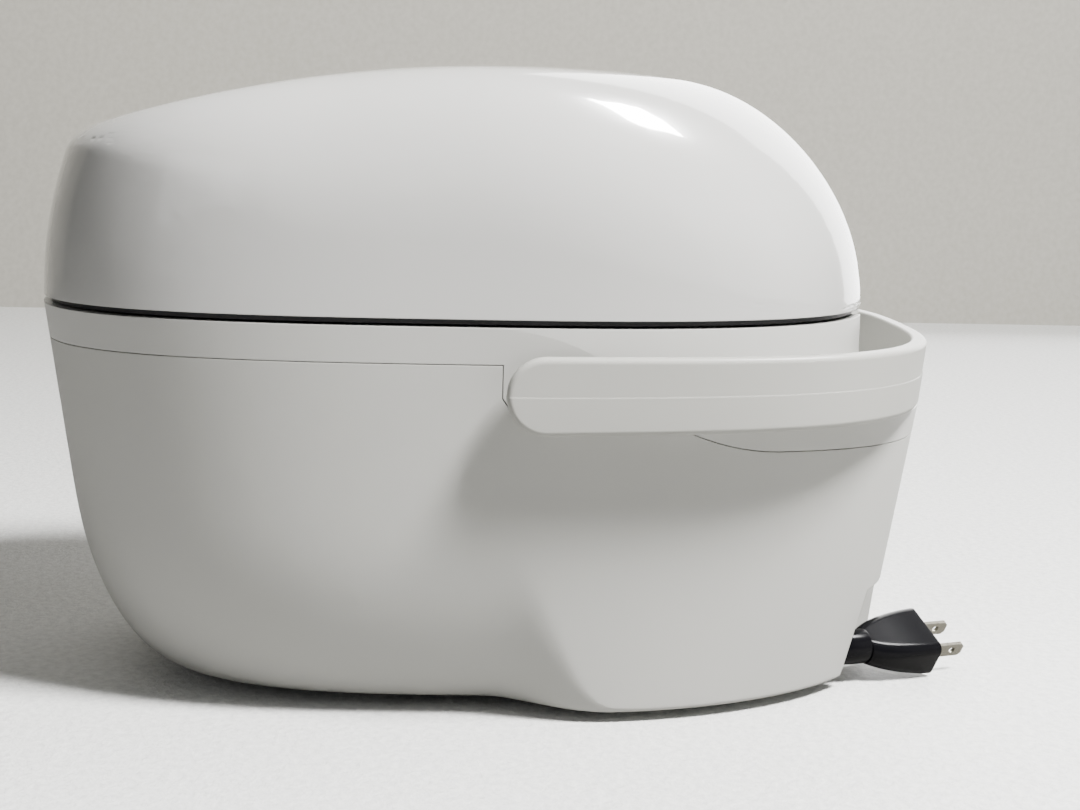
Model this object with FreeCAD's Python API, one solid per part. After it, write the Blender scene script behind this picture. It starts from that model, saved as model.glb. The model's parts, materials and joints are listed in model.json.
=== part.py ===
import FreeCAD, Part
import math
import os
from FreeCAD import Vector

# A rice cooker with a tall domed lid, a carry handle and a plug on a retracted mains cord.
# Millimetres. +X is the cooker's own left side, -Y its front, +Z up. The origin is on the floor,
# under the middle of the cooker.

# Plan of the lid and body: a superellipse about PLAN_Y, with a front and a rear half
PLAN_Y = -11.0
HALF_WIDTH = 128.0
FRONT_LENGTH = 164.0
LID_REAR_LENGTH = 161.2
BODY_REAR_LENGTH = 190.0
FRONT_EXPONENT = 3.0
REAR_EXPONENT = 2.75
BODY_REAR_EXPONENT = 3.2
WALL = 2.4

# Heights above the floor
BASE_Z = 4.0
SHELF_Z = 109.5
SHELF_SLOPE = 0.022
SEAM_Z = 135.0
SEAM_GAP = 0.3
DECK_Z = 148.2
TROUGH_Z = 146.0
LID_Z = 151.0
CROWN_Z = 241.8
CROWN_Y = 4.0
FRONT_FALL = 0.00107
REAR_FALL = 0.00068

# Shoulder moulding: where its apron starts, and the apron's lower edge
APRON_Y = 4.0
APRON_CORNERS = ((4.0, 123.0), (11.0, 113.0))
APRON_ARC = ((68.0, 112.6), (88.0, 105.5), (110.0, 103.1))
APRON_REAR = (190.0, 101.5)

# Pot, its opening and the heater under it
POT_Y = -28.0
POT_RADIUS = 97.5
POT_WALL = 2.2
POT_BASE_Z = 34.0
POT_RIM_Z = 150.0
CASE_RADIUS = 101.5
DECK_HOLE_RADIUS = 99.7

# Lid hinge, latch and handle pivot
HINGE_Y = 147.7
HINGE_Z = 150.0
HINGE_PIN_RADIUS = 1.8
BARREL_RADIUS = 3.2
LATCH_Y = -156.0
LATCH_Z = 163.0
PIVOT_Y = 19.0
PIVOT_Z = 125.0
PIVOT_RADIUS = 4.0
RUNNING_GAP = 0.06

# Carry handle
HANDLE_HALF_WIDTH = 138.0
HANDLE_LENGTH = 188.0
HANDLE_CENTRE_Y = -13.0
HANDLE_EXPONENTS = (2.9, 4.1)
HANDLE_THICKNESS = 6.2
HANDLE_HEIGHT = 28.0
HANDLE_REAR_TOP_Z = 140.5
HANDLE_REAR_BASE_Z = 114.8
HANDLE_LEAN = 0.12

# Control panel, its window and its buttons (x, y, width, length)
PANEL = (0.0, -97.0, 124.0, 74.0)
WINDOW = (0.0, -91.0, 56.0, 30.0)
BUTTONS = {
    "start_button": (45.0, -84.0, 22.0, 14.0),
    "cancel_button": (-45.0, -84.0, 22.0, 14.0),
    "menu_button": (-45.0, -106.0, 22.0, 12.0),
    "timer_button": (45.0, -106.0, 22.0, 12.0),
    "minus_button": (-15.0, -119.0, 18.0, 10.0),
    "plus_button": (15.0, -119.0, 18.0, 10.0),
}
OPEN_BUTTON = (0.0, -148.0, 46.0, 13.0)
BUTTON_GAP = 0.35
BUTTON_PROUD = 0.2
VENT_Y = 48.0
VENT_LENGTH = 34.0
VENT_WIDTH = 48.0

# Fan, cord reel and cord outlet
FAN_CENTRE = (-60.0, 68.0)
FAN_SIZE = 60.0
REEL_CENTRE = (12.0, 88.0)
REEL_RADIUS = 40.0
CORD_WIDTH = 6.6
CORD_THICKNESS = 3.2
CORD_PITCH = 3.4
CORD_HALF_TURNS = 12
SPOOL_RADIUS = 13.2
CORD_Z = 14.0
CORD_GAP = 0.3
POCKET = (14.0, 60.0, 133.0, 40.0)

# Plug: two flat blades at the standard spacing, on a moulded body
BOOT_Y = 139.0
BOOT_RADIUS = 7.6
NECK_RADIUS = 7.0
NECK_BEND_RADIUS = 32.0
PLUG_YAW = 26.0
PLUG_PITCH = -1.8
PLUG_ROLL = -30.0
PLUG_LENGTH = 29.5
PLUG_WIDTH = 26.0
PLUG_THICKNESS = 16.0
BLADE_SPACING = 12.7
BLADE_WIDTH = 6.3
BLADE_THICKNESS = 1.5
BLADE_LENGTH = 17.5

# Screws and feet under the base (x, y)
SCREWS = ((-50.0, 107.0), (66.0, 84.0), (-66.0, 30.0), (66.0, 30.0), (0.0, -68.0))
FEET = ((-44.0, -72.0), (44.0, -72.0), (-62.0, 98.0), (66.0, 102.0))

# Fineness of the moulded surfaces
COLUMNS = 96

X_AXIS = Vector(1, 0, 0)
Y_AXIS = Vector(0, 1, 0)
Z_AXIS = Vector(0, 0, 1)


# ---------------------------------------------------------------- simple solids

def box(x0, x1, y0, y1, z0, z1):
    return Part.makeBox(x1 - x0, y1 - y0, z1 - z0, Vector(x0, y0, z0))


def rod(radius, start, length, axis=Z_AXIS):
    return Part.makeCylinder(radius, length, Vector(*start), axis)


def tube(outer, inner, start, length, axis=Z_AXIS):
    return rod(outer, start, length, axis).cut(rod(inner, start, length, axis))


def union(solids):
    first, *others = solids
    return first.fuse(others).removeSplitter() if others else first


def without(solid, *tools):
    for tool in tools:
        solid = solid.cut(tool)
    return solid


def cup(outer_radius, wall, z_low, z_high, corner):
    """A round cup about the pot's axis, open at the top, with a rounded foot."""
    def plug(radius, low, foot):
        body = rod(radius, (0, POT_Y, low), z_high - low)
        rim = [edge for edge in body.Edges if edge.BoundBox.ZMax < low + 1]
        return body.makeFillet(foot, rim)
    return plug(outer_radius, z_low, corner).cut(plug(outer_radius - wall, z_low + wall, corner - wall))


def rounded_plate(width, length, corner, z_low, z_high):
    """An upright rounded rectangle, centred on the Z axis."""
    plate = box(-width / 2, width / 2, -length / 2, length / 2, z_low, z_high)
    uprights = [e for e in plate.Edges if e.BoundBox.ZLength > (z_high - z_low) / 2]
    return plate.makeFillet(corner, uprights)


def side_extrusion(points, half_width=160.0):
    """Extrude an outline of (y, z) points across the whole width."""
    corners = [Vector(-half_width, y, z) for y, z in points]
    face = Part.Face(Part.makePolygon(corners + corners[:1]))
    return face.extrude(Vector(2 * half_width, 0, 0))


# ---------------------------------------------------------------- moulded surfaces

def smoothstep(low, high, value):
    t = min(1.0, max(0.0, (value - low) / (high - low)))
    return t * t * (3 - 2 * t)


def plan_radius(angle, half_x, half_y, exponent):
    across = abs(math.cos(angle) / half_x) ** exponent
    along = abs(math.sin(angle) / half_y) ** exponent
    return (across + along) ** (-1 / exponent)


def edge_profile(step, inward_reach, upward_reach):
    """From the rim inwards: a wall (step 0 to 1), an elliptical edge (1 to 2), then a top (2 to 3).

    Returns how far the point lies inwards and upwards, as parts of the whole."""
    if step <= 1.0:
        return 0.0, step * (1 - upward_reach)
    if step <= 2.0:
        turn = math.radians(90 * (step - 1))
        return inward_reach * (1 - math.cos(turn)), 1 - upward_reach * (1 - math.sin(turn))
    return inward_reach + (1 - inward_reach) * (step - 2), 1.0


def mix(low, high, share):
    return low + (high - low) * share


def crown_height(x, y):
    fall = FRONT_FALL if y < CROWN_Y else REAR_FALL
    return CROWN_Z - fall * (y - CROWN_Y) ** 2 - 0.0002 * x * x


def lid_point(angle, step, inset):
    """The lid's skin: crisp along the front edge, softly domed at the sides and the rear."""
    sine = math.sin(angle)
    front = smoothstep(0.35, 0.97, -sine)
    rear = smoothstep(0.0, 1.0, sine)
    inward, rise = edge_profile(step, mix(mix(0.27, 0.04, front), 0.455, rear),
                                mix(mix(0.62, 0.10, front), 0.97, rear))
    half_y, exponent = (LID_REAR_LENGTH, REAR_EXPONENT) if sine > 0 else (FRONT_LENGTH, FRONT_EXPONENT)
    radius = plan_radius(angle, HALF_WIDTH - inset, half_y - inset, exponent)
    radius *= (1 - inward) * (1 - mix(0.015, 0.066, front) * (1 - rear) * rise ** 2.3)
    x = radius * math.cos(angle)
    y = PLAN_Y + radius * sine
    return Vector(x, y, LID_Z + (crown_height(x, y) - inset - LID_Z) * rise)


def body_point(angle, step, inset):
    """The body's skin, from the deck down: a bowl at the front, a square foot at the rear."""
    sine = math.sin(angle)
    foot = smoothstep(0.14, 0.46, sine)
    rear = smoothstep(0.0, 1.0, sine)
    inward, drop = edge_profile(step, mix(0.21, 0.012, foot), mix(0.46, 0.012, foot))
    half_y = BODY_REAR_LENGTH if sine > 0 else FRONT_LENGTH
    exponent = mix(FRONT_EXPONENT, BODY_REAR_EXPONENT, rear) - 0.7 * drop * rear - 0.3 * drop
    radius = plan_radius(angle, HALF_WIDTH - inset, half_y - inset, exponent)
    radius *= (1 - inward) * (1 - mix(0.12, 0.092, rear) * drop)
    x = radius * math.cos(angle)
    y = PLAN_Y + radius * sine
    return Vector(x, y, DECK_Z - (DECK_Z - BASE_Z - inset) * drop)


def moulded_solid(point, inset):
    """A closed solid under a smooth surface whose control points come from point()."""
    rows = [step / 5 for step in range(5)] + [1 + step / 8 for step in range(8)]
    rows += [2 + step / 5 for step in range(6)]
    poles = [[point(2 * math.pi * column / COLUMNS, row, inset) for row in rows]
             for column in range(COLUMNS)]
    around = [float(i) for i in range(COLUMNS + 1)]
    upward = [float(i) for i in range(len(rows) - 2)]
    surface = Part.BSplineSurface()
    surface.buildFromPolesMultsKnots(poles, [1] * len(around), [4] + [1] * (len(rows) - 4) + [4],
                                     around, upward, True, False, 3, 3)
    skin = surface.toShape()
    rim = max((e for e in skin.Edges if e.BoundBox.ZLength < 0.01), key=lambda e: e.Length)
    cap = Part.Face(Part.Wire([rim]))
    solid = Part.Solid(Part.Shell([skin, cap]))
    if not solid.isValid():
        cap.reverse()
        solid = Part.Solid(Part.Shell([skin, cap]))
    if solid.Volume < 0:
        solid.reverse()
    return solid


def plan_wire(points):
    """A level outline, smooth through the points."""
    outline = Part.BSplineCurve()
    outline.interpolate(points, PeriodicFlag=True)
    return Part.Wire([outline.toShape()])


def plan_prism(half_x, front, rear, centre_y, z_low, z_high):
    """An upright prism on a superellipse whose halves each have a (length, exponent)."""
    points = []
    for column in range(COLUMNS):
        angle = 2 * math.pi * column / COLUMNS
        radius = plan_radius(angle, half_x, *(rear if math.sin(angle) > 0 else front))
        points.append(Vector(radius * math.cos(angle), centre_y + radius * math.sin(angle), z_low))
    return Part.Face(plan_wire(points)).extrude(Vector(0, 0, z_high - z_low))


# ---------------------------------------------------------------- body and shoulder

def tower(inset, z_low, z_high):
    return plan_prism(HALF_WIDTH - inset, (FRONT_LENGTH - inset, FRONT_EXPONENT),
                      (LID_REAR_LENGTH - inset, REAR_EXPONENT), PLAN_Y, z_low, z_high)


def body_block(inset):
    """The body as a full block, with the shelf that the folded handle lies over."""
    shelf = SHELF_Z - inset
    rear_shelf = shelf + 218 * SHELF_SLOPE
    room = side_extrusion(((2, shelf), (220, rear_shelf), (220, DECK_Z + 20), (2, DECK_Z + 20)))
    recess = room.cut(tower(inset, shelf, DECK_Z + 20))
    return moulded_solid(body_point, inset).cut(recess)


def shoulder_zone(gap=0.0):
    """Everything above the seam, and above the apron's curved lower edge."""
    start = Vector(-160, -220, SEAM_Z - gap)
    front = [start, Vector(-160, APRON_Y - gap, SEAM_Z - gap)]
    front += [Vector(-160, y - gap, z - gap) for y, z in APRON_CORNERS]
    arc = [Vector(-160, y, z - gap) for y, z in APRON_ARC]
    front.append(arc[0])
    rear_y, rear_z = APRON_REAR
    back = [arc[2], Vector(-160, rear_y, rear_z - gap), Vector(-160, rear_y, 170),
            Vector(-160, -220, 170), start]
    edges = [Part.LineSegment(a, b).toShape() for a, b in zip(front, front[1:])]
    edges.append(Part.Arc(*arc).toShape())
    edges += [Part.LineSegment(a, b).toShape() for a, b in zip(back, back[1:])]
    return Part.Face(Part.Wire(edges)).extrude(Vector(320, 0, 0))


def base_zone():
    return plan_prism(80.0, (96.0, 3.0), (112.0, 3.0), 14.0, 0.0, 40.0)


def cord_pocket(grow=0.0):
    x0, x1, y0, top = POCKET
    return box(x0 - grow, x1 + grow, y0 - grow, 220, -10, top + grow)


def hinge_barrels(radius, inner_radius, spans):
    return [tube(radius, inner_radius, (x0, HINGE_Y, HINGE_Z), x1 - x0, X_AXIS) for x0, x1 in spans]


def make_casing(parts):
    outer = body_block(0.0)
    parts["rubber_feet"] = Part.makeCompound([rod(9.0, (x, y, 0.0), 14).cut(outer) for x, y in FEET])
    hollow = body_block(WALL)
    pocket_wall = cord_pocket(WALL).common(outer)
    shell = union([outer.cut(hollow), pocket_wall]).cut(cord_pocket())
    zone = shoulder_zone()
    shoulder = shell.common(zone)
    trough = box(-48, 48, HINGE_Y - 5, HINGE_Y + 10, TROUGH_Z, DECK_Z + 5)
    lug_feet = [box(x0, x0 + 7, HINGE_Y - 3.2, HINGE_Y + 2.4, DECK_Z - 5, HINGE_Z) for x0 in (-25, 18)]
    inside = body_block(WALL + 0.1)
    deck = inside.common(box(-160, 160, -220, 220, DECK_Z - WALL, DECK_Z)).cut(trough)
    trough_floor = inside.common(box(-50, 50, HINGE_Y - 7, 160, TROUGH_Z - WALL, TROUGH_Z))
    parts["deck_plate"] = without(
        union([deck, trough_floor]), *lug_feet,
        rod(DECK_HOLE_RADIUS, (0, POT_Y, DECK_Z - 10), 20),
        box(-12, 12, LATCH_Y - 10, LATCH_Y + 8, DECK_Z - 10, DECK_Z + 5))
    shoulder = without(shoulder, trough, rod(PIVOT_RADIUS, (-140, PIVOT_Y, PIVOT_Z), 280, X_AXIS))
    spans = ((-25, -18), (18, 25))
    shoulder = union([shoulder] + lug_feet + hinge_barrels(BARREL_RADIUS, HINGE_PIN_RADIUS, spans))
    shoulder = shoulder.cut(rod(HINGE_PIN_RADIUS, (-30, HINGE_Y, HINGE_Z), 60, X_AXIS))
    parts["shoulder_ring"] = shoulder

    lower = shell.cut(shoulder_zone(SEAM_GAP))
    outlet_hole = box(cord_x() - 7, cord_x() + 7, 120, 140, CORD_Z - 6, CORD_Z + 6)
    base = base_zone().cut(cord_pocket(WALL))
    parts["body_shell"] = without(lower, base, outlet_hole)
    x, y = FAN_CENTRE
    slots = [box(x - 22, x + 22, y + dy, y + dy + 3, 0, 12) for dy in range(-22, 23, 7)]
    exhaust = [box(dx, dx + 3, -70, -42, 0, 14) for dx in range(-30, 31, 7)]
    holes = [rod(2.0, (sx, sy, 0), 30) for sx, sy in SCREWS]
    parts["base_plate"] = without(lower.common(base), *slots, *exhaust, *holes)
    parts["base_screws"] = Part.makeCompound(
        [rod(2.0, (sx, sy, BASE_Z - 0.5), 11).fuse(rod(3.6, (sx, sy, BASE_Z - 2.0), 2.0))
         for sx, sy in SCREWS])


# ---------------------------------------------------------------- heating and pot

def make_heating(parts):
    pot = cup(POT_RADIUS, POT_WALL, POT_BASE_Z, DECK_Z, 30.0)
    flange = tube(103.0, POT_RADIUS - POT_WALL, (0, POT_Y, DECK_Z), POT_RIM_Z - DECK_Z)
    parts["inner_pot"] = union([pot, flange])
    case = cup(CASE_RADIUS, 2.0, POT_BASE_Z - 3.2, DECK_Z - WALL, 34.0)
    parts["inner_case"] = case.cut(rod(14.6, (0, POT_Y, 20), 30))
    parts["side_heater"] = tube(CASE_RADIUS + 1.2, CASE_RADIUS, (0, POT_Y, 76), 34)
    parts["coil_base"] = tube(74.0, 18.0, (0, POT_Y, 21.5), 3.0)
    parts["induction_coil"] = Part.makeCompound(
        [tube(24.5 + 6 * turn, 20 + 6 * turn, (0, POT_Y, 24.5), 3.6) for turn in range(8)])
    parts["ferrite_bars"] = Part.makeCompound([ferrite_bar(45.0 * index) for index in range(8)])
    parts["sensor_housing"] = union([
        tube(14.0, 11.6 + RUNNING_GAP, (0, POT_Y, 12), 18),
        tube(14.0, 4.0, (0, POT_Y, 10.5), 1.5)])
    parts["centre_sensor"] = rod(11.6, (0, POT_Y, 26.5), POT_BASE_Z - 0.3 - 26.5)
    parts["sensor_spring"] = tube(9.6, 8.0, (0, POT_Y, 12), 14.5)


def ferrite_bar(degrees):
    bar = box(26, 68, -5, 5, 16.5, 21.5)
    bar.rotate(Vector(0, 0, 0), Z_AXIS, degrees)
    bar.translate(Vector(0, POT_Y, 0))
    return bar


# ---------------------------------------------------------------- power, fan and cord

def make_power(parts):
    parts["inverter_board"] = box(-80, 6, 122, 123.6, 30, 100)
    fins = [box(-76, -24, 108, 120.4, z, z + 1.6) for z in range(40, 92, 5)]
    parts["heat_sink"] = union([box(-76, -24, 119, 122, 38, 94)] + fins)
    parts["board_components"] = Part.makeCompound(
        [rod(8.0, (-9, 122, z), 24, Vector(0, -1, 0)) for z in (44, 66, 88)]
        + [box(-20, 2, 123.6, 136, 50, 80), box(-78, -50, 123.6, 131, 60, 84)])

    x, y = FAN_CENTRE
    half = FAN_SIZE / 2
    frame = box(x - half, x + half, y - half, y + half, 7, 21.2).cut(rod(27.0, (x, y, 0), 40))
    struts = [box(x - half + 1, x + half - 1, y - 1.5, y + 1.5, 7, 8.5),
              box(x - 1.5, x + 1.5, y - half + 1, y + half - 1, 7, 8.5)]
    parts["fan_housing"] = union([frame] + struts + [rod(9.0, (x, y, 7), 2), rod(2.0, (x, y, 9), 10)])
    parts["fan_rotor"] = make_rotor(x, y)


def make_rotor(x, y):
    hub = rod(10.0, (x, y, 9.6), 10.4).cut(rod(2.0 + RUNNING_GAP, (x, y, 9), 10.1))
    blade = box(9, 25.6, -0.8, 0.8, 10, 20)
    blade.rotate(Vector(9, 0, 15), X_AXIS, 38)
    blades = []
    for index in range(7):
        copy = blade.copy()
        copy.rotate(Vector(0, 0, 0), Z_AXIS, 360.0 * index / 7)
        copy.translate(Vector(x, y, 0))
        blades.append(copy)
    return union([hub] + blades)


def winding_reach():
    """Radius of the winding's outermost face, on the side where the cord leaves it."""
    return SPOOL_RADIUS + CORD_HALF_TURNS * CORD_PITCH / 2 + CORD_THICKNESS


def cord_x():
    return REEL_CENTRE[0] + winding_reach() + CORD_GAP + CORD_THICKNESS / 2


def spiral_edges(radius):
    """Half circles about two centres, each half a pitch wider than the last."""
    x, y = REEL_CENTRE
    step = CORD_PITCH / 2
    z = CORD_Z - CORD_WIDTH / 2
    edges = []
    for turn in range(CORD_HALF_TURNS):
        side = 1 if turn % 2 == 0 else -1
        centre = x if side > 0 else x + step
        start = Vector(centre + side * radius, y, z)
        middle = Vector(centre, y + side * radius, z)
        end = Vector(centre - side * radius, y, z)
        edges.append(Part.Arc(start, middle, end).toShape())
        radius += step
    return edges


def make_cord(parts):
    x, y = REEL_CENTRE
    hub = rod(SPOOL_RADIUS - 0.1, (x, y, 8), 12).cut(rod(10.5, (x, y, 10), 12))
    flanges = [rod(REEL_RADIUS, (x, y, 8), 1.5), tube(REEL_RADIUS, 10.5, (x, y, 18.5), 1.5)]
    shaft_radius = 3.0
    bore = rod(shaft_radius + RUNNING_GAP, (x, y, 7), 20)
    parts["cord_reel"] = union([hub] + flanges).cut(bore)
    inner = spiral_edges(SPOOL_RADIUS)
    outer = spiral_edges(SPOOL_RADIUS + CORD_THICKNESS)
    start = Part.LineSegment(inner[0].Vertexes[0].Point, outer[0].Vertexes[0].Point).toShape()
    end = Part.LineSegment(inner[-1].Vertexes[-1].Point, outer[-1].Vertexes[-1].Point).toShape()
    band = Part.Face(Part.Wire(Part.__sortEdges__(inner + outer + [start, end])))
    parts["cord_winding"] = band.extrude(Vector(0, 0, CORD_WIDTH))
    posts = [tube(3.5, 1.2, (x + dx, y + dy, 6.6), 15.0)
             for dx, dy in ((-34, -29), (34, -29), (-34, 30))]
    bridge = box(x - 38, x + 38, y - 33, y + 34, 21, 22.6).cut(rod(4.2, (x + 34, y + 30, 20), 4))
    parts["reel_bracket"] = union([bridge, rod(shaft_radius, (x, y, 6.6), 15)] + posts)
    parts["reel_spring"] = tube(9.4, 3.4, (x, y, 11), 6.5)
    half = CORD_THICKNESS / 2
    parts["cord_tail"] = box(cord_x() - half, cord_x() + half, y, BOOT_Y,
                             CORD_Z - CORD_WIDTH / 2, CORD_Z + CORD_WIDTH / 2)
    block = box(cord_x() - 7, cord_x() + 7, POCKET[2] - WALL, POCKET[2], CORD_Z - 6, CORD_Z + 6)
    collar = box(cord_x() - 6, cord_x() + 6, POCKET[2], POCKET[2] + 2.5, CORD_Z - 6.5, CORD_Z + 6.5)
    slot = box(cord_x() - half - CORD_GAP, cord_x() + half + CORD_GAP, 120, 150,
               CORD_Z - CORD_WIDTH / 2 - CORD_GAP, CORD_Z + CORD_WIDTH / 2 + CORD_GAP)
    parts["cord_outlet"] = union([block, collar]).cut(slot)


def plug_frame():
    """Where the plug's body starts, and its axis, blade and thickness directions."""
    yaw = math.radians(PLUG_YAW)
    pitch = math.radians(PLUG_PITCH)
    roll = math.radians(PLUG_ROLL)
    centre_x = cord_x() - NECK_BEND_RADIUS
    start = Vector(centre_x + NECK_BEND_RADIUS * math.cos(yaw),
                   BOOT_Y + NECK_BEND_RADIUS * math.sin(yaw), CORD_Z)
    axis = Vector(-math.sin(yaw) * math.cos(pitch), math.cos(yaw) * math.cos(pitch), math.sin(pitch))
    side = axis.cross(Z_AXIS).normalize()
    up = side.cross(axis).normalize()
    across = side * math.cos(roll) + up * math.sin(roll)
    return start, axis, across, axis.cross(across).normalize()


def in_plug_frame(shape):
    """Move a shape from (blade, thickness, axis) coordinates to its place on the plug."""
    start, axis, across, through = plug_frame()
    matrix = FreeCAD.Matrix(across.x, through.x, axis.x, start.x,
                            across.y, through.y, axis.y, start.y,
                            across.z, through.z, axis.z, start.z,
                            0, 0, 0, 1)
    copy = shape.copy()
    copy.Placement = FreeCAD.Placement(matrix).multiply(copy.Placement)
    return copy


def plug_section(width, thickness, corner, height):
    plate = rounded_plate(width, thickness, corner, height, height + 1)
    bottom = min(plate.Faces, key=lambda face: face.CenterOfMass.z)
    return bottom.OuterWire


def make_plug(parts):
    ring = rod(BOOT_RADIUS, (cord_x(), BOOT_Y, CORD_Z), 4.5, Y_AXIS)
    disc = Part.Face(Part.Wire([Part.makeCircle(NECK_RADIUS, Vector(cord_x(), BOOT_Y, CORD_Z), Y_AXIS)]))
    neck = disc.revolve(Vector(cord_x() - NECK_BEND_RADIUS, BOOT_Y, 0), Z_AXIS, PLUG_YAW)
    parts["plug_boot"] = union([ring, neck])
    sections = [plug_section(15.0, 11.6, 5.0, 0.0),
                plug_section(20.0, 12.4, 5.0, 5.0),
                plug_section(23.4, 13.8, 4.6, 12.0),
                plug_section(25.4, 15.4, 4.0, 21.0),
                plug_section(PLUG_WIDTH, PLUG_THICKNESS, 3.4, PLUG_LENGTH)]
    parts["plug_body"] = in_plug_frame(Part.makeLoft(sections, True, False)).cut(parts["plug_boot"])
    half = BLADE_WIDTH / 2
    tip = PLUG_LENGTH + BLADE_LENGTH
    blade = box(-BLADE_THICKNESS / 2, BLADE_THICKNESS / 2, -half, half, PLUG_LENGTH, tip)
    ends = [e for e in blade.Edges if e.BoundBox.ZMin > tip - 0.1 and e.BoundBox.XLength > 1]
    blade = blade.makeChamfer(1.4, ends).cut(rod(1.5, (-2, 0, tip - 5.5), 4, X_AXIS))
    pair = []
    for side in (-1, 1):
        copy = blade.copy()
        copy.translate(Vector(side * BLADE_SPACING / 2, 0, 0))
        pair.append(in_plug_frame(copy))
    parts["plug_blades"] = Part.makeCompound(pair)


# ---------------------------------------------------------------- lid

def on_panel(place, z_low, z_high, corner, grow=0.0):
    """A rounded plate square to the lid's top at (x, y), from z_low to z_high about the surface."""
    x, y, width, length = place
    plate = rounded_plate(width + 2 * grow, length + 2 * grow, corner + grow, z_low, z_high)
    plate.rotate(Vector(0, 0, 0), X_AXIS, panel_tilt(y))
    plate.translate(Vector(x, y, crown_height(x, y)))
    return plate


def panel_tilt(y):
    return math.degrees(math.atan(-2 * FRONT_FALL * (y - CROWN_Y)))


def vent_plan(grow, z_low, z_high):
    plate = rounded_plate(VENT_WIDTH + 2 * grow, VENT_LENGTH + 2 * grow, 14.0 + grow, z_low, z_high)
    plate.translate(Vector(0, VENT_Y, 0))
    return plate


def make_lid(parts):
    outer = moulded_solid(lid_point, 0.0)
    hollow = moulded_solid(lid_point, WALL)
    proud = moulded_solid(lid_point, -BUTTON_PROUD)
    skin = outer.cut(hollow)
    hinge_room = rod(BARREL_RADIUS + 0.5, (-25.6, HINGE_Y, HINGE_Z), 51.2, X_AXIS)
    parts["lid_shell"] = without(skin, vent_plan(BUTTON_GAP, 200, 260),
                                 on_panel(PANEL, -30, 30, 6.0),
                                 on_panel(OPEN_BUTTON, -9, 9, 6.0, BUTTON_GAP), hinge_room)
    button_holes = [on_panel(place, -9, 9, 2.5, BUTTON_GAP) for place in BUTTONS.values()]
    panel = skin.common(on_panel(PANEL, -30, 30, 6.0))
    parts["control_panel"] = without(panel, on_panel(WINDOW, -9, 9, 2.0), *button_holes)
    parts["lcd_window"] = skin.common(on_panel(WINDOW, -9, 9, 2.0))
    for name, place in BUTTONS.items():
        parts[name] = proud.common(on_panel(place, -5.0, 3.0, 2.5))
    parts["open_button"] = proud.common(on_panel(OPEN_BUTTON, -6.0, 3.0, 6.0))
    parts["display_board"] = on_panel((0, PANEL[1], 116.0, 66.0), -9.2, -7.6, 4.0)
    make_lid_underside(parts)
    make_steam_path(parts, skin)


def make_lid_underside(parts):
    frame = tower(3.0, LID_Z - 2.0, LID_Z + 2.0)
    barrel = hinge_barrels(BARREL_RADIUS, HINGE_PIN_RADIUS + RUNNING_GAP, ((-17.6, 17.6),))[0]
    lug_room = [rod(BARREL_RADIUS + 0.5, (x, HINGE_Y, HINGE_Z), 7.9, X_AXIS) for x in (-25.6, 17.7)]
    latch_room = box(-10, 10, LATCH_Y - 8, LATCH_Y + 7, LID_Z - 5, LID_Z + 5)
    frame = without(frame, rod(105.0, (0, POT_Y, 140), 20), latch_room, *lug_room)
    frame = union([frame, barrel]).cut(
        rod(HINGE_PIN_RADIUS + RUNNING_GAP, (-30, HINGE_Y, HINGE_Z), 60, X_AXIS))
    ears = [box(x, x + 2.5, LATCH_Y - 5, LATCH_Y + 5, LID_Z + 2, LATCH_Z + 4) for x in (-12.5, 10)]
    ears = [ear.cut(rod(1.6, (-20, LATCH_Y, LATCH_Z), 40, X_AXIS)) for ear in ears]
    parts["lid_under_frame"] = union([frame] + ears)
    parts["hinge_pin"] = rod(HINGE_PIN_RADIUS, (-25, HINGE_Y, HINGE_Z), 50, X_AXIS)
    parts["latch_pin"] = rod(1.6, (-12.5, LATCH_Y, LATCH_Z), 25, X_AXIS)
    hook = side_extrusion(((LATCH_Y - 3, LATCH_Z + 4), (LATCH_Y + 3, LATCH_Z + 4), (LATCH_Y + 3, 141),
                           (LATCH_Y - 6, 141), (LATCH_Y - 3, 145)), 8.0)
    parts["latch_hook"] = hook.cut(rod(1.6 + RUNNING_GAP, (-20, LATCH_Y, LATCH_Z), 40, X_AXIS))
    parts["latch_catch"] = box(-14, 14, LATCH_Y - 12.5, LATCH_Y - 7, 140, DECK_Z - WALL)
    steam_hole = rod(7.0, (0, VENT_Y, 140), 40)
    parts["inner_lid"] = rod(100.0, (0, POT_Y, 151.8), 1.2).cut(steam_hole)
    parts["inner_lid_gasket"] = tube(100.0, 92.0, (0, POT_Y, 150.3), 1.5)
    parts["lid_heater_plate"] = rod(107.0, (0, POT_Y, LID_Z + 2), 1.2).cut(steam_hole)


def make_steam_path(parts, skin):
    x, y = 0.0, VENT_Y
    duct = tube(9.0, 7.0, (x, y, LID_Z + 3.2), 66)
    bowl = rod(18.6, (x, y, 219), 13).cut(rod(16.6, (x, y, 221), 12))
    parts["steam_duct"] = union([duct, bowl]).cut(rod(7.0, (x, y, 210), 12))
    lid = skin.common(vent_plan(0.0, 200, 260))
    slits = [box(dx - 1.2, dx + 1.2, VENT_Y - 8, VENT_Y + 8, 230, 250) for dx in (-7, 0, 7)]
    skirt = tube(15.8, 13.8, (x, y, 224), 13.5)
    parts["steam_vent_cap"] = union([lid, skirt]).cut(union(slits))


# ---------------------------------------------------------------- handle

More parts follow.
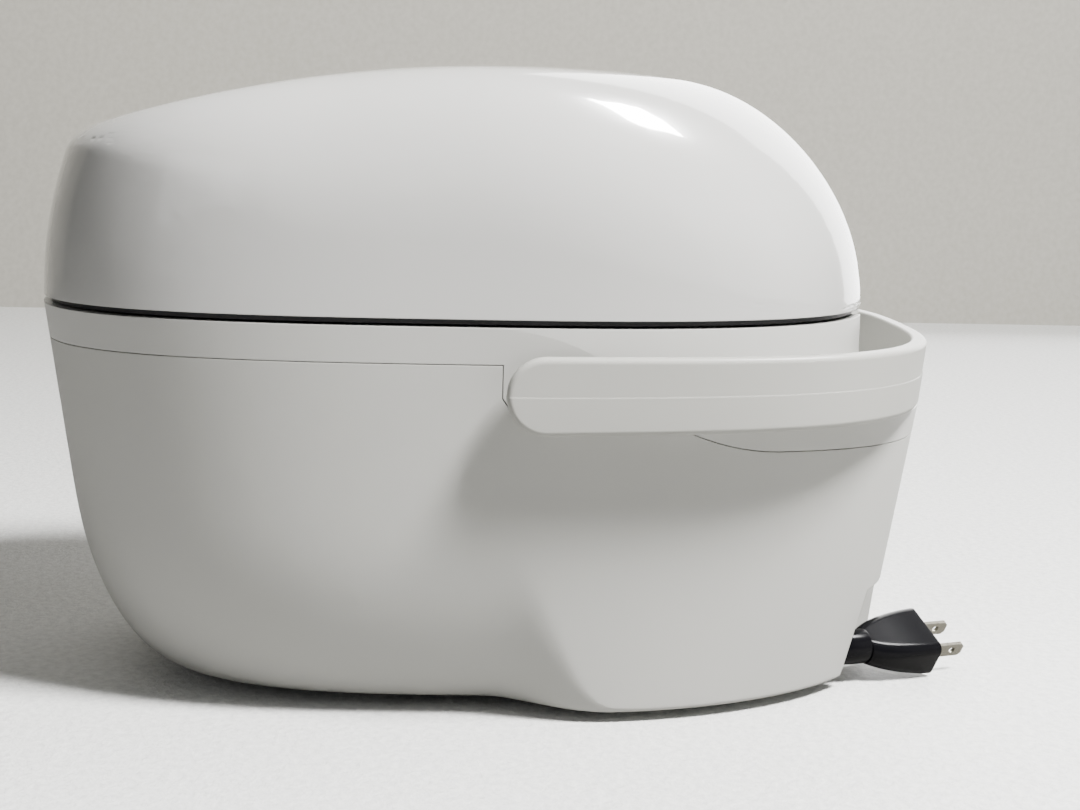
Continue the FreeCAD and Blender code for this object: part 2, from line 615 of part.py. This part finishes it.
def handle_profile():
    """The handle's side view: a stadium end about the pivot, tapering a little to the rear."""
    radius = HANDLE_HEIGHT / 2
    reach = 200.0
    slope_top = (HANDLE_REAR_TOP_Z - PIVOT_Z - radius) / (174 - PIVOT_Y)
    slope_low = (HANDLE_REAR_BASE_Z - PIVOT_Z + radius) / (174 - PIVOT_Y)
    top = PIVOT_Z + radius
    low = PIVOT_Z - radius
    bar = side_extrusion(((PIVOT_Y, low), (PIVOT_Y + reach, low + slope_low * reach),
                          (PIVOT_Y + reach, top + slope_top * reach), (PIVOT_Y, top)))
    return union([bar, rod(radius, (-160, PIVOT_Y, PIVOT_Z), 320, X_AXIS)])


def handle_point(turn, inset, z):
    """A point of the bow's upright outline; the rear leans out towards its top."""
    across, along = HANDLE_EXPONENTS
    half_x = HANDLE_HALF_WIDTH - inset
    half_y = HANDLE_LENGTH - inset + HANDLE_LEAN * (z - HANDLE_REAR_TOP_Z)
    x = half_x * math.copysign(abs(math.cos(turn)) ** (2 / across), math.cos(turn))
    y = half_y * math.copysign(abs(math.sin(turn)) ** (2 / along), math.sin(turn))
    return Vector(x, HANDLE_CENTRE_Y + y, z)


def make_handle(parts):
    def plan(inset):
        turns = [2 * math.pi * column / COLUMNS for column in range(COLUMNS)]
        wires = [plan_wire([handle_point(turn, inset, z) for turn in turns]) for z in (90.0, 160.0)]
        return Part.makeLoft(wires, True, True)
    bow = plan(0.0).cut(plan(HANDLE_THICKNESS)).common(handle_profile())
    inner_x = HANDLE_HALF_WIDTH - HANDLE_THICKNESS
    bosses = [rod(10.0, (side * 128.2, PIVOT_Y, PIVOT_Z), inner_x - 127.2, X_AXIS * side)
              for side in (-1, 1)]
    bores = [rod(PIVOT_RADIUS + RUNNING_GAP, (side * 120, PIVOT_Y, PIVOT_Z), 14.3, X_AXIS * side)
             for side in (-1, 1)]
    parts["carry_handle"] = without(union([bow] + bosses), *bores)
    parts["handle_pivots"] = Part.makeCompound([
        union([rod(PIVOT_RADIUS, (side * 117, PIVOT_Y, PIVOT_Z), 17, X_AXIS * side),
               rod(8.0, (side * 117, PIVOT_Y, PIVOT_Z), 4.0, X_AXIS * side)])
        for side in (-1, 1)])
    parts["lid_springs"] = Part.makeCompound(
        [tube(4.0, 2.6, (x, HINGE_Y - 12, DECK_Z - 9), 16, X_AXIS) for x in (-44, 28)])


# ---------------------------------------------------------------- build

def build():
    parts = {}
    make_casing(parts)
    make_heating(parts)
    make_power(parts)
    make_cord(parts)
    make_plug(parts)
    make_lid(parts)
    make_handle(parts)
    os.makedirs("parts", exist_ok=True)
    for name, shape in parts.items():
        if not shape.isValid() or shape.Volume <= 0:
            print("check", name, shape.isValid(), round(shape.Volume))
        shape.exportStep("parts/" + name + ".step")
    print(len(parts), "parts")


build()
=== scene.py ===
import json
import math

import bmesh
import bpy
from mathutils import Matrix, Quaternion, Vector


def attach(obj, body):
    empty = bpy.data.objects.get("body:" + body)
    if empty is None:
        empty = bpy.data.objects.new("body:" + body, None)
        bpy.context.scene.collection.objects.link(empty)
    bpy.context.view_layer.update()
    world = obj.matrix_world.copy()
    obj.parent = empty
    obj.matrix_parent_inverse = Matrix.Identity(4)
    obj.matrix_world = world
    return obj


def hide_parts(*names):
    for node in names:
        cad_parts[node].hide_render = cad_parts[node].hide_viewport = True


# The looks of a rice cooker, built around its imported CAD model. Metres. +X is the cooker's own
# left side, -Y its front, +Z up, and the floor is at z = 0.

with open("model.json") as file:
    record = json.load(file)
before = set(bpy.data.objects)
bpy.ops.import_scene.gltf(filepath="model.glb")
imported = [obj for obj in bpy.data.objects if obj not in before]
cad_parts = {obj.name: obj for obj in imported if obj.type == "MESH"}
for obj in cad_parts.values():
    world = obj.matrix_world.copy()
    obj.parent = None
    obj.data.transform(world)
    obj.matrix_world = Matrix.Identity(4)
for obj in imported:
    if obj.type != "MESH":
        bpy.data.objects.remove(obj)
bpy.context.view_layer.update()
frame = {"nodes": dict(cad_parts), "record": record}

# Camera: where it stands, how it is turned (radians) and its lens
CAMERA_PLACE = (0.8243, -0.0157, 0.2188)
CAMERA_PITCH = 0.139
CAMERA_YAW = 0.047
CAMERA_ROLL = 0.022
CAMERA_LENS = 66.5

# Floor and the wall far behind it
FLOOR_REACH = 2.6
WALL_X = -1.48
WALL_HEIGHT = 3.0

# The floor throws less light back than it shows, so that the sides keep their shade
FLOOR_BOUNCE = (0.30, 0.30, 0.29)

# The room beyond the floor: how much light it gives, and how bright it looks
WORLD_LIGHT = 0.02
WORLD_SEEN = 0.55

# Radius of the softened corners on moulded parts
EDGE_RADIUS = 0.0005

# Carry handle: a bow about the body, as in the CAD model. PIVOT is (y, z), the exponents shape the
# plan across and along, and the slopes are those of the lower and the upper edge.
PIVOT = (0.019, 0.125)
BOW_HALF_WIDTH = 0.138
BOW_LENGTH = 0.188
BOW_CENTRE_Y = -0.013
BOW_EXPONENTS = (2.9, 4.1)
BOW_THICKNESS = 0.0062
BOW_LEAN = 0.12
BOW_LEAN_Z = 0.1405
BOW_RADIUS = 0.014
BOW_SLOPES = (0.0038 / 0.155, 0.0015 / 0.155)
BOW_EDGE = 0.0022
LEDGE_HALF_WIDTH = 0.00025
LEDGE_DEPTH = 0.00030

# Points along the bow: on each straight arm, on each half of the bend, and round half an end
ARM_STEP = 0.006
ARM_STEPS = 20
BEND_STEPS = 30
END_STEPS = 12

# Turned ring round each pivot, as (radius, x)
BOSS_OUTLINE = ((0.0100, 0.1322), (0.0100, 0.1290), (0.0094, 0.1284),
                (0.0046, 0.1284), (0.00406, 0.1289), (0.00406, 0.1322))
BOSS_STEPS = 48

# Lamps: name, place, aim, size, power, colour, roll, and the kinds of ray that don't see them
MIDDLE = (0.0, 0.0, 0.12)
WHITE = (1.0, 1.0, 1.0)
LAMPS = (
    ("key_lamp", (0.66, 0.82, 1.58), MIDDLE, (0.40, 0.40), 138.0, (1.0, 0.985, 0.96), 0.0, ("glossy",)),
    ("window_gleam", (-0.10, 0.84, 1.72), MIDDLE, (0.50, 0.28), 90.0, WHITE, 0.61, ("diffuse",)),
    ("rim_panel", (-1.40, 1.15, 1.00), (0.0, 1.15, 1.00), (1.8, 1.9), 62.0, WHITE, 0.0,
     ("diffuse", "camera")),
    ("soft_front", (1.6, -1.5, 0.9), MIDDLE, (1.2, 1.2), 5.0, WHITE, 0.0, ()),
    ("soft_rear", (0.9, 1.9, 0.8), MIDDLE, (1.6, 1.2), 4.0, WHITE, 0.0, ()),
    ("soft_top", (-0.2, 0.0, 2.2), MIDDLE, (2.4, 2.4), 3.0, WHITE, 0.0, ()),
)


# ---------------------------------------------------------------- materials

def new_material(name):
    """A material with its node tree, its shader and the object's own coordinates."""
    material = bpy.data.materials.new(name)
    material.use_nodes = True
    tree = material.node_tree
    shader = tree.nodes["Principled BSDF"]
    place = tree.nodes.new("ShaderNodeTexCoord").outputs["Object"]
    return material, tree, shader, place


def noise(tree, place, scale, detail=3.0, roughness=0.5):
    """Smooth noise from 0 to 1; a larger scale is finer."""
    node = tree.nodes.new("ShaderNodeTexNoise")
    node.inputs["Scale"].default_value = scale
    node.inputs["Detail"].default_value = detail
    node.inputs["Roughness"].default_value = roughness
    tree.links.new(place, node.inputs["Vector"])
    return node.outputs["Fac"]


def ramp(tree, value, stops):
    """The colour that a 0 to 1 value picks between stops of (position, colour)."""
    node = tree.nodes.new("ShaderNodeValToRGB")
    elements = node.color_ramp.elements
    while len(elements) < len(stops):
        elements.new(0.5)
    for element, (position, colour) in zip(elements, stops):
        element.position = position
        element.color = (*colour, 1.0)
    tree.links.new(value, node.inputs["Fac"])
    return node.outputs["Color"]


def spread(tree, value, low, high):
    """Map a 0 to 1 value on to the range low to high."""
    node = tree.nodes.new("ShaderNodeMapRange")
    node.inputs["To Min"].default_value = low
    node.inputs["To Max"].default_value = high
    tree.links.new(value, node.inputs["Value"])
    return node.outputs["Result"]


def bump(tree, shader, height, depth, strength=1.0, edge=0.0):
    """Relief in the surface; an edge radius also softens the corners between faces."""
    node = tree.nodes.new("ShaderNodeBump")
    node.inputs["Distance"].default_value = depth
    node.inputs["Strength"].default_value = strength
    tree.links.new(height, node.inputs["Height"])
    if edge > 0.0:
        soft = tree.nodes.new("ShaderNodeBevel")
        soft.samples = 6
        soft.inputs["Radius"].default_value = edge
        tree.links.new(soft.outputs["Normal"], node.inputs["Normal"])
    tree.links.new(node.outputs["Normal"], shader.inputs["Normal"])


def tint(colour, factor):
    """The colour made darker or lighter by a factor."""
    return tuple(min(1.0, channel * factor) for channel in colour)


def moulded_plastic(name, colour, roughness, grain_size, grain_depth, coat=0.0, mottle=0.02,
                    ior=1.49):
    """Moulded plastic: a fine grain, slightly uneven gloss and a faint cloudiness in its colour."""
    material, tree, shader, place = new_material(name)
    cloud = noise(tree, place, 9.0, 4.0)
    colours = ramp(tree, cloud, ((0.3, tint(colour, 1 - mottle)), (0.7, tint(colour, 1 + mottle))))
    tree.links.new(colours, shader.inputs["Base Color"])
    wear = noise(tree, place, 34.0, 5.0, 0.6)
    tree.links.new(spread(tree, wear, roughness * 0.88, roughness * 1.12), shader.inputs["Roughness"])
    grain = noise(tree, place, 1.0 / grain_size, 2.0)
    bump(tree, shader, grain, grain_depth, 1.0, EDGE_RADIUS)
    shader.inputs["Coat Weight"].default_value = coat
    shader.inputs["Coat Roughness"].default_value = 0.035
    shader.inputs["IOR"].default_value = ior
    return material


def metal(name, colour, roughness, stretch=(1.0, 1.0, 1.0), scale=900.0):
    """Metal with a drawn or turned grain: noise that is stretched along its direction."""
    material, tree, shader, place = new_material(name)
    mapping = tree.nodes.new("ShaderNodeMapping")
    mapping.inputs["Scale"].default_value = stretch
    tree.links.new(place, mapping.inputs["Vector"])
    grain = noise(tree, mapping.outputs["Vector"], scale, 3.0)
    colours = ramp(tree, grain, ((0.3, tint(colour, 0.90)), (0.7, tint(colour, 1.08))))
    tree.links.new(colours, shader.inputs["Base Color"])
    tree.links.new(spread(tree, grain, roughness * 0.8, roughness * 1.25), shader.inputs["Roughness"])
    shader.inputs["Metallic"].default_value = 1.0
    bump(tree, shader, grain, 0.00002, 0.4)
    return material


def pot_coating():
    """Dark non-stick coating with fine metallic specks."""
    material, tree, shader, place = new_material("pot_coating")
    cells = tree.nodes.new("ShaderNodeTexVoronoi")
    cells.inputs["Scale"].default_value = 900.0
    tree.links.new(place, cells.inputs["Vector"])
    specks = ramp(tree, cells.outputs["Distance"],
                  ((0.06, (0.42, 0.40, 0.36)), (0.14, (0.045, 0.045, 0.05))))
    tree.links.new(specks, shader.inputs["Base Color"])
    tree.links.new(spread(tree, noise(tree, place, 60.0), 0.28, 0.42), shader.inputs["Roughness"])
    bump(tree, shader, noise(tree, place, 1500.0), 0.00004, 0.5)
    return material


def circuit_board():
    """Green lacquer over a grid of tracks."""
    material, tree, shader, place = new_material("circuit_board")
    tracks = tree.nodes.new("ShaderNodeTexBrick")
    tracks.inputs["Scale"].default_value = 130.0
    tracks.inputs["Mortar Size"].default_value = 0.03
    tracks.inputs["Color1"].default_value = (0.016, 0.13, 0.045, 1.0)
    tracks.inputs["Color2"].default_value = (0.012, 0.10, 0.035, 1.0)
    tracks.inputs["Mortar"].default_value = (0.05, 0.22, 0.09, 1.0)
    tree.links.new(place, tracks.inputs["Vector"])
    tree.links.new(tracks.outputs["Color"], shader.inputs["Base Color"])
    tree.links.new(spread(tree, noise(tree, place, 200.0), 0.28, 0.42), shader.inputs["Roughness"])
    return material


def wound_copper():
    """Copper strands wound in rings round the upright axis."""
    material, tree, shader, place = new_material("wound_copper")
    strands = tree.nodes.new("ShaderNodeTexWave")
    strands.wave_type = "RINGS"
    strands.rings_direction = "Z"
    strands.inputs["Scale"].default_value = 320.0
    strands.inputs["Distortion"].default_value = 0.6
    tree.links.new(place, strands.inputs["Vector"])
    colours = ramp(tree, strands.outputs["Fac"], ((0.2, (0.22, 0.07, 0.03)), (0.8, (0.62, 0.24, 0.11))))
    tree.links.new(colours, shader.inputs["Base Color"])
    shader.inputs["Metallic"].default_value = 0.8
    shader.inputs["Roughness"].default_value = 0.35
    bump(tree, shader, strands.outputs["Fac"], 0.0003, 0.6)
    return material


def woven_mat():
    """A pale heat-proof weave."""
    material, tree, shader, place = new_material("woven_mat")
    weave = tree.nodes.new("ShaderNodeTexChecker")
    weave.inputs["Scale"].default_value = 900.0
    weave.inputs["Color1"].default_value = (0.60, 0.54, 0.40, 1.0)
    weave.inputs["Color2"].default_value = (0.50, 0.44, 0.32, 1.0)
    tree.links.new(place, weave.inputs["Vector"])
    tree.links.new(weave.outputs["Color"], shader.inputs["Base Color"])
    shader.inputs["Roughness"].default_value = 0.9
    bump(tree, shader, noise(tree, place, 1200.0), 0.0002, 0.6)
    return material


def display_glass():
    """A dark tinted window over a grey segment display, with nothing lit."""
    material, tree, shader, place = new_material("display_glass")
    cloud = noise(tree, place, 50.0)
    colours = ramp(tree, cloud, ((0.35, (0.060, 0.070, 0.062)), (0.65, (0.075, 0.086, 0.076))))
    tree.links.new(colours, shader.inputs["Base Color"])
    tree.links.new(spread(tree, noise(tree, place, 30.0), 0.04, 0.09), shader.inputs["Roughness"])
    shader.inputs["Coat Weight"].default_value = 1.0
    shader.inputs["Coat Roughness"].default_value = 0.02
    return material


def rubber(name, colour, roughness):
    """Rubber: a fine matt grain, and a cloudiness in its colour."""
    material, tree, shader, place = new_material(name)
    colours = ramp(tree, noise(tree, place, 45.0, 4.0),
                   ((0.3, tint(colour, 0.85)), (0.7, tint(colour, 1.2))))
    tree.links.new(colours, shader.inputs["Base Color"])
    tree.links.new(spread(tree, noise(tree, place, 120.0), roughness * 0.85, roughness * 1.15),
                   shader.inputs["Roughness"])
    bump(tree, shader, noise(tree, place, 2600.0), 0.00005, 0.6)
    return material


def make_materials():
    """One material for each of the record's slots."""
    # name, colour, roughness, grain size and depth, clear coat, cloudiness, index of refraction
    plastics = {
        "white_gloss": ("lid_gloss", (0.555, 0.555, 0.546), 0.22, 0.0030, 0.000006, 1.0, 0.006),
        "white_satin": ("shoulder_satin", (0.57, 0.57, 0.55), 0.30, 0.0006, 0.000012, 0.25),
        "white_matte": ("body_matt", (0.55, 0.55, 0.528), 0.52, 0.00035, 0.000035),
        "handle_white": ("handle_white", (0.43, 0.43, 0.405), 0.38, 0.0004, 0.00002),
        "panel_grey": ("panel_grey", (0.50, 0.51, 0.52), 0.25, 0.0008, 0.00001, 0.6),
        "button_grey": ("key_grey", (0.66, 0.67, 0.68), 0.38, 0.0004, 0.00002, 0.2),
        "frame_black": ("frame_black", (0.014, 0.014, 0.016), 0.5, 0.0004, 0.00003),
        "inner_grey": ("inner_grey", (0.09, 0.09, 0.095), 0.5, 0.0005, 0.00003),
        "component_black": ("component_black", (0.02, 0.02, 0.022), 0.4, 0.0004, 0.00002),
        "plug_black": ("plug_black", (0.004, 0.004, 0.005), 0.20, 0.0004, 0.00002, 0.0, 0.02, 1.22),
    }
    materials = {slot: moulded_plastic(*looks) for slot, looks in plastics.items()}
    materials.update({
        "window_tint": display_glass(),
        "pot_dark": pot_coating(),
        "lid_aluminium": metal("lid_aluminium", (0.72, 0.72, 0.74), 0.30, (1, 14, 14), 160.0),
        "steel": metal("plated_steel", (0.60, 0.60, 0.61), 0.30),
        "silicone": rubber("silicone_grey", (0.36, 0.36, 0.37), 0.55),
        "heater_mat": woven_mat(),
        "copper": wound_copper(),
        "ferrite": rubber("ferrite", (0.035, 0.035, 0.04), 0.65),
        "board_green": circuit_board(),
        "cord_black": rubber("cord_black", (0.005, 0.005, 0.006), 0.5),
        "blade_metal": metal("blade_metal", (0.24, 0.225, 0.185), 0.28, (14, 1, 14), 160.0),
        "foot_rubber": rubber("foot_rubber", (0.05, 0.05, 0.05), 0.8),
    })
    return materials


def finish_frame_nodes(materials):
    """Give every CAD node the material of its slot in the record."""
    slots = {part["node"]: part["material_slot"] for part in frame["record"]["subparts"]}
    for name, node in frame["nodes"].items():
        node.data.materials.clear()
        node.data.materials.append(materials[slots[name]])
        for polygon in node.data.polygons:
            polygon.use_smooth = True
        node.data.set_sharp_from_angle(angle=math.radians(30))


# ---------------------------------------------------------------- pieces

def add_piece(name, build, body, material, replaced=()):
    """Make an object from a bmesh, ride it on its body and give it its material."""
    mesh = bpy.data.meshes.new(name)
    build.normal_update()
    build.to_mesh(mesh)
    build.free()
    mesh.materials.append(material)
    for polygon in mesh.polygons:
        polygon.use_smooth = True
    piece = bpy.data.objects.new(name, mesh)
    bpy.context.scene.collection.objects.link(piece)
    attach(piece, body)
    if replaced:
        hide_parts(*replaced)
    return piece


def even_normals(piece):
    """Flat faces keep their own normals and the rounded edges blend between them."""
    weighted = piece.modifiers.new("normals", "WEIGHTED_NORMAL")
    weighted.keep_sharp = True
    weighted.weight = 80


def bow_point(turn, inset, z):
    """The point (x, y) of the bow's plan at a turn, at height z and set in from the outside."""
    across, along = BOW_EXPONENTS
    half_x = BOW_HALF_WIDTH - inset
    half_y = BOW_LENGTH - inset + BOW_LEAN * (z - BOW_LEAN_Z)
    x = half_x * math.copysign(abs(math.cos(turn)) ** (2 / across), math.cos(turn))
    y = half_y * math.copysign(abs(math.sin(turn)) ** (2 / along), math.sin(turn))
    return x, BOW_CENTRE_Y + y


def bow_turn(y, inset, z):
    """The turn at which the bow's outline reaches y on its +X arm."""
    half_y = BOW_LENGTH - inset + BOW_LEAN * (z - BOW_LEAN_Z)
    share = (y - BOW_CENTRE_Y) / half_y
    return math.asin(share ** (BOW_EXPONENTS[1] / 2))


def bow_heights(y):
    """Heights of the lower edge, the parting ledge's three lines and the upper edge."""
    low = PIVOT[1] - BOW_RADIUS + BOW_SLOPES[0] * (y - PIVOT[0])
    high = PIVOT[1] + BOW_RADIUS + BOW_SLOPES[1] * (y - PIVOT[0])
    middle = (low + high) / 2
    return low, middle - LEDGE_HALF_WIDTH, middle, middle + LEDGE_HALF_WIDTH, high


def bow_rows(insets, chosen):
    """Rows of points from one pivot round the bow to the other, one for each chosen height."""
    arm = [bow_turn(PIVOT[0] + ARM_STEP * step, 0.0, BOW_LEAN_Z) for step in range(ARM_STEPS + 1)]
    remaining = math.pi / 2 - arm[-1]
    bend = [arm[-1] + remaining * step / BEND_STEPS for step in range(1, BEND_STEPS + 1)]
    rows = []
    for row, depth in zip(chosen, insets):
        side = []
        for turn in arm + bend:
            z = bow_heights(bow_point(turn, 0.0, BOW_LEAN_Z)[1])[row]
            side.append((*bow_point(turn, depth, z), z))
        other = [(-x, y, z) for x, y, z in reversed(side[:-1])]
        rows.append(side + other)
    return rows


def bow_end(insets, side):
    """The half circle round a pivot, from its top to its bottom, with the ledge's lines at its tip."""
    low, middle, high = insets
    tip = LEDGE_HALF_WIDTH / BOW_RADIUS
    angles = [math.pi * (0.5 + 0.5 * step / END_STEPS) for step in range(1, END_STEPS)]
    turns = [(angle, high) for angle in angles]
    turns += [(math.pi - tip, high), (math.pi, middle), (math.pi + tip, low)]
    turns += [(angle + math.pi / 2, low) for angle in angles]
    points = []
    for angle, inset in turns:
        y = PIVOT[0] + BOW_RADIUS * math.cos(angle)
        z = PIVOT[1] + BOW_RADIUS * math.sin(angle)
        x, y = bow_point(bow_turn(y, inset, z), inset, z)
        points.append((side * x, y, z))
    return points


def join_rows(build, near, far):
    """A strip of faces between two rows of points."""
    for a, b, c, d in zip(near, near[1:], far[1:], far):
        build.faces.new((a, b, c, d))


def close_bow_end(build, outer, inner, ledge, end, side):
    """Fill a rounded end, outside and inside, and give back the two loops of points round it."""
    rim = [build.verts.new(p) for p in bow_end(ledge, side)]
    back = [build.verts.new(p) for p in bow_end((BOW_THICKNESS,) * 3, side)]
    column = [row[end] for row in outer]
    top, tip = END_STEPS - 1, END_STEPS
    build.faces.new((column[4], *rim[:tip], column[3]))
    build.faces.new((column[3], rim[top], rim[tip], column[2]))
    build.faces.new((column[2], rim[tip], rim[tip + 1], column[1]))
    build.faces.new((column[1], *rim[tip + 1:], column[0]))
    front_loop = [column[4], *rim, column[0]]
    back_loop = [inner[1][end], *back, inner[0][end]]
    build.faces.new(back_loop)
    join_rows(build, front_loop, back_loop)
    return front_loop, back_loop


def round_edges(build, loops, radius, segments):
    """Round the edges that run along these loops of points."""
    edges = [build.edges.get(pair) for loop in loops for pair in zip(loop, loop[1:])]
    bmesh.ops.bevel(build, geom=edges, offset=radius, segments=segments, profile=0.5,
                    affect="EDGES", clamp_overlap=False)


def make_handle(material):
    """The bow: its outside in strips with the parting ledge, its inside, its edges and its two ends."""
    build = bmesh.new()
    ledge = (0.0, 0.5 * LEDGE_DEPTH, LEDGE_DEPTH)
    outer_insets = (0.0, *ledge, LEDGE_DEPTH)
    outer = [[build.verts.new(p) for p in row] for row in bow_rows(outer_insets, range(5))]
    inner = [[build.verts.new(p) for p in row] for row in bow_rows((BOW_THICKNESS,) * 2, (0, 4))]
    for low, high in zip(outer, outer[1:]):
        join_rows(build, low, high)
    join_rows(build, inner[0], inner[1])
    join_rows(build, outer[4], inner[1])
    join_rows(build, inner[0], outer[0])
    outer_loops = [outer[0], outer[4]]
    inner_loops = [inner[0], inner[1]]
    for end, side in ((0, 1), (-1, -1)):
        front_loop, back_loop = close_bow_end(build, outer, inner, ledge, end, side)
        outer_loops.append(front_loop)
        inner_loops.append(back_loop)
    bmesh.ops.recalc_face_normals(build, faces=build.faces)
    round_edges(build, outer_loops, BOW_EDGE, 5)
    round_edges(build, inner_loops, BOW_EDGE * 0.5, 3)
    handle = add_piece("handle_bow", build, "handle", material, ("carry_handle",))
    even_normals(handle)
    make_pivot_bosses(material)


def make_pivot_bosses(material):
    """Turned rings on the insides of the arms, round the pivots."""
    for side, name in ((1, "left"), (-1, "right")):
        build = bmesh.new()
        loops = []
        for step in range(BOSS_STEPS):
            angle = 2 * math.pi * step / BOSS_STEPS
            points = [(side * x, PIVOT[0] + radius * math.cos(angle), PIVOT[1] + radius * math.sin(angle))
                      for radius, x in BOSS_OUTLINE]
            loops.append([build.verts.new(point) for point in points])
        for here, there in zip(loops, loops[1:] + loops[:1]):
            join_rows(build, here, there)
        bmesh.ops.recalc_face_normals(build, faces=build.faces)
        boss = add_piece("pivot_boss_" + name, build, "handle", material)
        boss.data.set_sharp_from_angle(angle=math.radians(50))


# ---------------------------------------------------------------- stage, light and camera

def plane(name, corners, material):
    """A flat part of the stage."""
    mesh = bpy.data.meshes.new(name)
    mesh.from_pydata(corners, [], [(0, 1, 2, 3)])
    mesh.materials.append(material)
    panel = bpy.data.objects.new(name, mesh)
    bpy.context.scene.collection.objects.link(panel)


def make_stage():
    """The floor, paler to the camera than to other rays, and the wall behind it."""
    reach = FLOOR_REACH
    floor_cloth, tree, shader, place = new_material("floor_pale")
    cells = noise(tree, place, 260.0, 4.0, 0.7)
    seen = ramp(tree, cells, ((0.32, (0.76, 0.77, 0.77)), (0.68, (0.98, 0.99, 0.98))))
    kind_of_ray = tree.nodes.new("ShaderNodeLightPath")
    choice = tree.nodes.new("ShaderNodeMix")
    choice.data_type = "RGBA"
    tree.links.new(kind_of_ray.outputs["Is Camera Ray"], choice.inputs["Factor"])
    # The colour sockets of this node are its inputs 6 and 7 and its output 2
    choice.inputs[6].default_value = (*FLOOR_BOUNCE, 1.0)
    tree.links.new(seen, choice.inputs[7])
    tree.links.new(choice.outputs[2], shader.inputs["Base Color"])
    shader.inputs["Roughness"].default_value = 0.55
    bump(tree, shader, cells, 0.0012, 0.8)
    corners = ((-reach, -reach, 0), (reach, -reach, 0), (reach, reach, 0), (-reach, reach, 0))
    plane("floor", corners, floor_cloth)
    wall_paper, tree, shader, place = new_material("wall_pale")
    colours = ramp(tree, noise(tree, place, 160.0, 4.0),
                   ((0.3, (0.48, 0.465, 0.415)), (0.7, (0.54, 0.525, 0.475))))
    tree.links.new(colours, shader.inputs["Base Color"])
    shader.inputs["Roughness"].default_value = 0.9
    corners = ((WALL_X, -reach, 0), (WALL_X, reach, 0),
               (WALL_X, reach, WALL_HEIGHT), (WALL_X, -reach, WALL_HEIGHT))
    plane("wall", corners, wall_paper)


def area_light(name, place, aim, size, power, colour, roll, unseen_by):
    """A rectangular lamp that faces its aim, rolled about the line to it."""
    light = bpy.data.lights.new(name, "AREA")
    light.shape = "RECTANGLE"
    light.size, light.size_y = size
    light.energy = power
    light.color = colour
    lamp = bpy.data.objects.new(name, light)
    bpy.context.scene.collection.objects.link(lamp)
    lamp.location = place
    facing = (Vector(aim) - Vector(place)).to_track_quat("-Z", "Y")
    lamp.rotation_euler = (facing @ Quaternion((0.0, 0.0, 1.0), roll)).to_euler()
    for kind in unseen_by:
        setattr(lamp, "visible_" + kind, False)


def make_light():
    """The room's own light, and the lamps."""
    world = bpy.data.worlds.new("studio")
    world.use_nodes = True
    tree = world.node_tree
    background = tree.nodes["Background"]
    background.inputs["Color"].default_value = (0.93, 0.95, 1.0, 1.0)
    kind_of_ray = tree.nodes.new("ShaderNodeLightPath")
    seen = spread(tree, kind_of_ray.outputs["Is Camera Ray"], WORLD_LIGHT, WORLD_SEEN)
    tree.links.new(seen, background.inputs["Strength"])
    bpy.context.scene.world = world
    for lamp in LAMPS:
        area_light(*lamp)


def make_camera():
    """The camera looks along -X, turned to the rear by its yaw and down by its pitch."""
    cos_p, sin_p = math.cos(CAMERA_PITCH), math.sin(CAMERA_PITCH)
    cos_y, sin_y = math.cos(CAMERA_YAW), math.sin(CAMERA_YAW)
    back = Vector((cos_y * cos_p, -sin_y * cos_p, sin_p))
    level_right = Vector((sin_y, cos_y, 0.0))
    level_up = back.cross(level_right)
    right = level_right * math.cos(CAMERA_ROLL) + level_up * math.sin(CAMERA_ROLL)
    up = back.cross(right)
    turn = Matrix((right, up, back)).transposed()
    data = bpy.data.cameras.new("camera")
    data.lens = CAMERA_LENS
    data.sensor_width = 36.0
    camera = bpy.data.objects.new("camera", data)
    camera.matrix_world = Matrix.Translation(CAMERA_PLACE) @ turn.to_4x4()
    bpy.context.scene.collection.objects.link(camera)
    bpy.context.scene.camera = camera


make_camera()
make_light()
make_stage()
materials = make_materials()
finish_frame_nodes(materials)
make_handle(materials["handle_white"])
